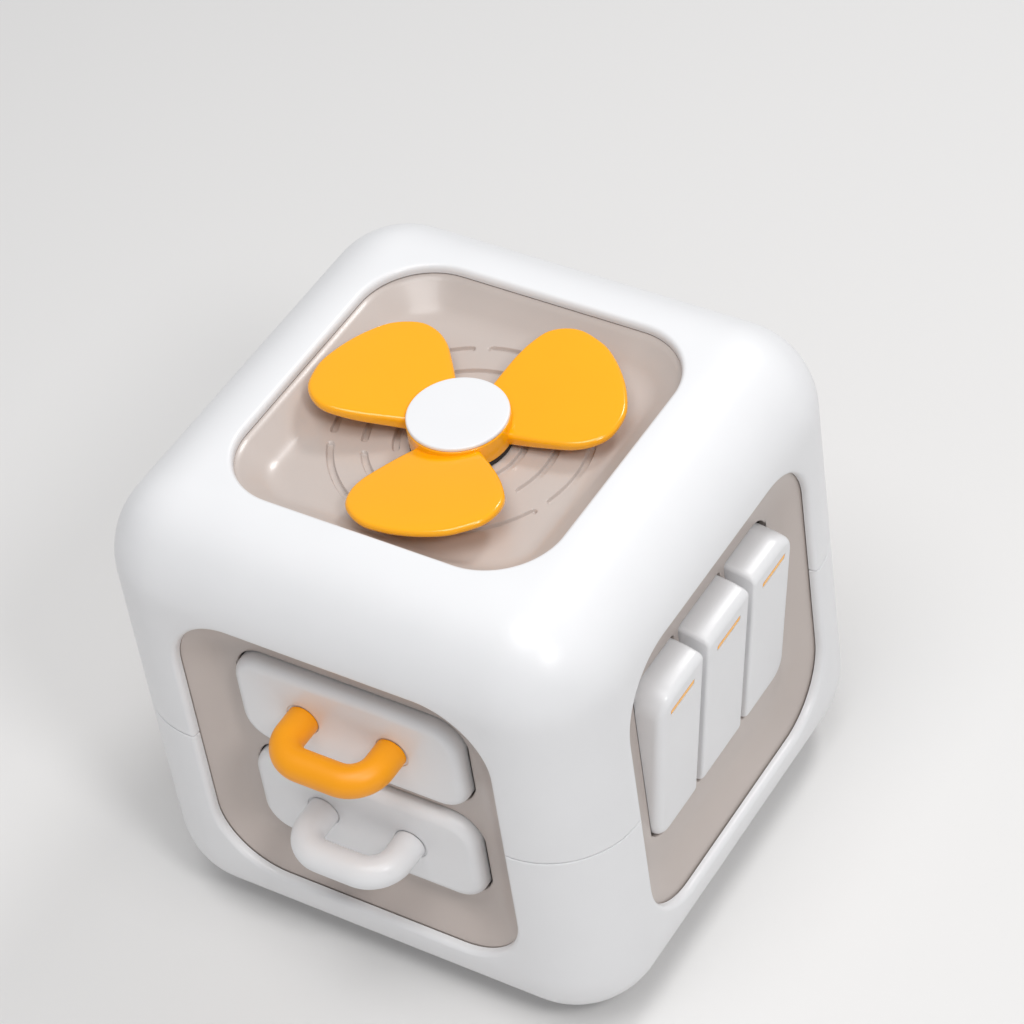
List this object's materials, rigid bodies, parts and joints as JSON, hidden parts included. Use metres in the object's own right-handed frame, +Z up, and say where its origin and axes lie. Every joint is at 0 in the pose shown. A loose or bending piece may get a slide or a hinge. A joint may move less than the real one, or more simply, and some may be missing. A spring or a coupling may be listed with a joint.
{
  "type": "activity cube",
  "caption": "Toddler activity cube: rounded two-shell body with dished panels, a spinning fan, two pull-out drawers and three click rockers.",
  "frame": {"origin": "centre of the body on the floor plane, in the middle of the flat base cover", "axes": "+Z up through the fan, drawers open towards -Y, rockers face +X"},
  "size_m": [0.1518, 0.1627, 0.1487],
  "materials": {
    "white_plastic": "satin-gloss moulded white",
    "greige_plastic": "fine satin warm grey-beige",
    "amber_gloss": "glossy amber yellow",
    "amber_matt": "matt amber yellow",
    "black_rubber": "matt black",
    "grey_plastic": "unpainted moulded grey",
    "steel": "bright zinc plated"
  },
  "bodies": {
    "cube_body": {"upper_shell": "white_plastic", "lower_shell": "white_plastic", "top_panel": "greige_plastic", "front_panel": "greige_plastic", "right_panel": "greige_plastic", "back_panel": "greige_plastic", "left_panel": "greige_plastic", "bottom_panel": "greige_plastic", "detent_leaf_near": "steel", "detent_leaf_middle": "steel", "detent_leaf_far": "steel", "fan_washer": "black_rubber", "fan_bush": "grey_plastic", "drawer_housing": "grey_plastic", "switch_backplate": "grey_plastic", "rocker_rod": "steel", "rod_retainer": "steel", "shell_screw_1": "steel", "top_panel_screw_1": "steel", "bottom_panel_screw_1": "steel", "housing_screw_1": "steel", "backplate_screw_1": "steel", "shell_screw_2": "steel", "top_panel_screw_2": "steel", "bottom_panel_screw_2": "steel", "housing_screw_2": "steel", "backplate_screw_2": "steel", "shell_screw_3": "steel", "top_panel_screw_3": "steel", "bottom_panel_screw_3": "steel", "housing_screw_3": "steel", "backplate_screw_3": "steel", "shell_screw_4": "steel", "top_panel_screw_4": "steel", "bottom_panel_screw_4": "steel", "housing_screw_4": "steel", "backplate_screw_4": "steel"},
    "fan": {"fan_rotor": "amber_gloss", "fan_cap": "white_plastic", "fan_axle": "steel", "fan_retaining_clip": "steel"},
    "upper_drawer": {"drawer_upper": "white_plastic", "handle_upper": "amber_matt", "handle_screw_upper_left": "steel", "handle_screw_upper_right": "steel"},
    "lower_drawer": {"drawer_lower": "white_plastic", "handle_lower": "white_plastic", "handle_screw_lower_left": "steel", "handle_screw_lower_right": "steel"},
    "near_rocker": {"rocker_near": "white_plastic", "indicator_near": "amber_gloss"},
    "middle_rocker": {"rocker_middle": "white_plastic", "indicator_middle": "amber_gloss"},
    "far_rocker": {"rocker_far": "white_plastic", "indicator_far": "amber_gloss"}
  },
  "joints": [
    {"name": "fan_spin", "type": "hinge", "parent": "cube_body", "child": "fan", "pos_m": [0, 0, 0.1378], "axis": [0, 0, 1], "continuous": true},
    {"name": "upper_drawer_slide", "type": "slide", "parent": "cube_body", "child": "upper_drawer", "axis": [0, -1, 0], "range_m": [0, 0.055]},
    {"name": "lower_drawer_slide", "type": "slide", "parent": "cube_body", "child": "lower_drawer", "axis": [0, -1, 0], "range_m": [0, 0.055]},
    {"name": "near_rocker_tilt", "type": "hinge", "parent": "cube_body", "child": "near_rocker", "pos_m": [0.0648, -0.0249, 0.07583], "axis": [0, -1, 0], "range_deg": [0, 15.2]},
    {"name": "middle_rocker_tilt", "type": "hinge", "parent": "cube_body", "child": "middle_rocker", "pos_m": [0.0648, 0, 0.07583], "axis": [0, -1, 0], "range_deg": [0, 15.2]},
    {"name": "far_rocker_tilt", "type": "hinge", "parent": "cube_body", "child": "far_rocker", "pos_m": [0.0648, 0.0249, 0.07583], "axis": [0, -1, 0], "range_deg": [0, 15.2]}
  ]
}
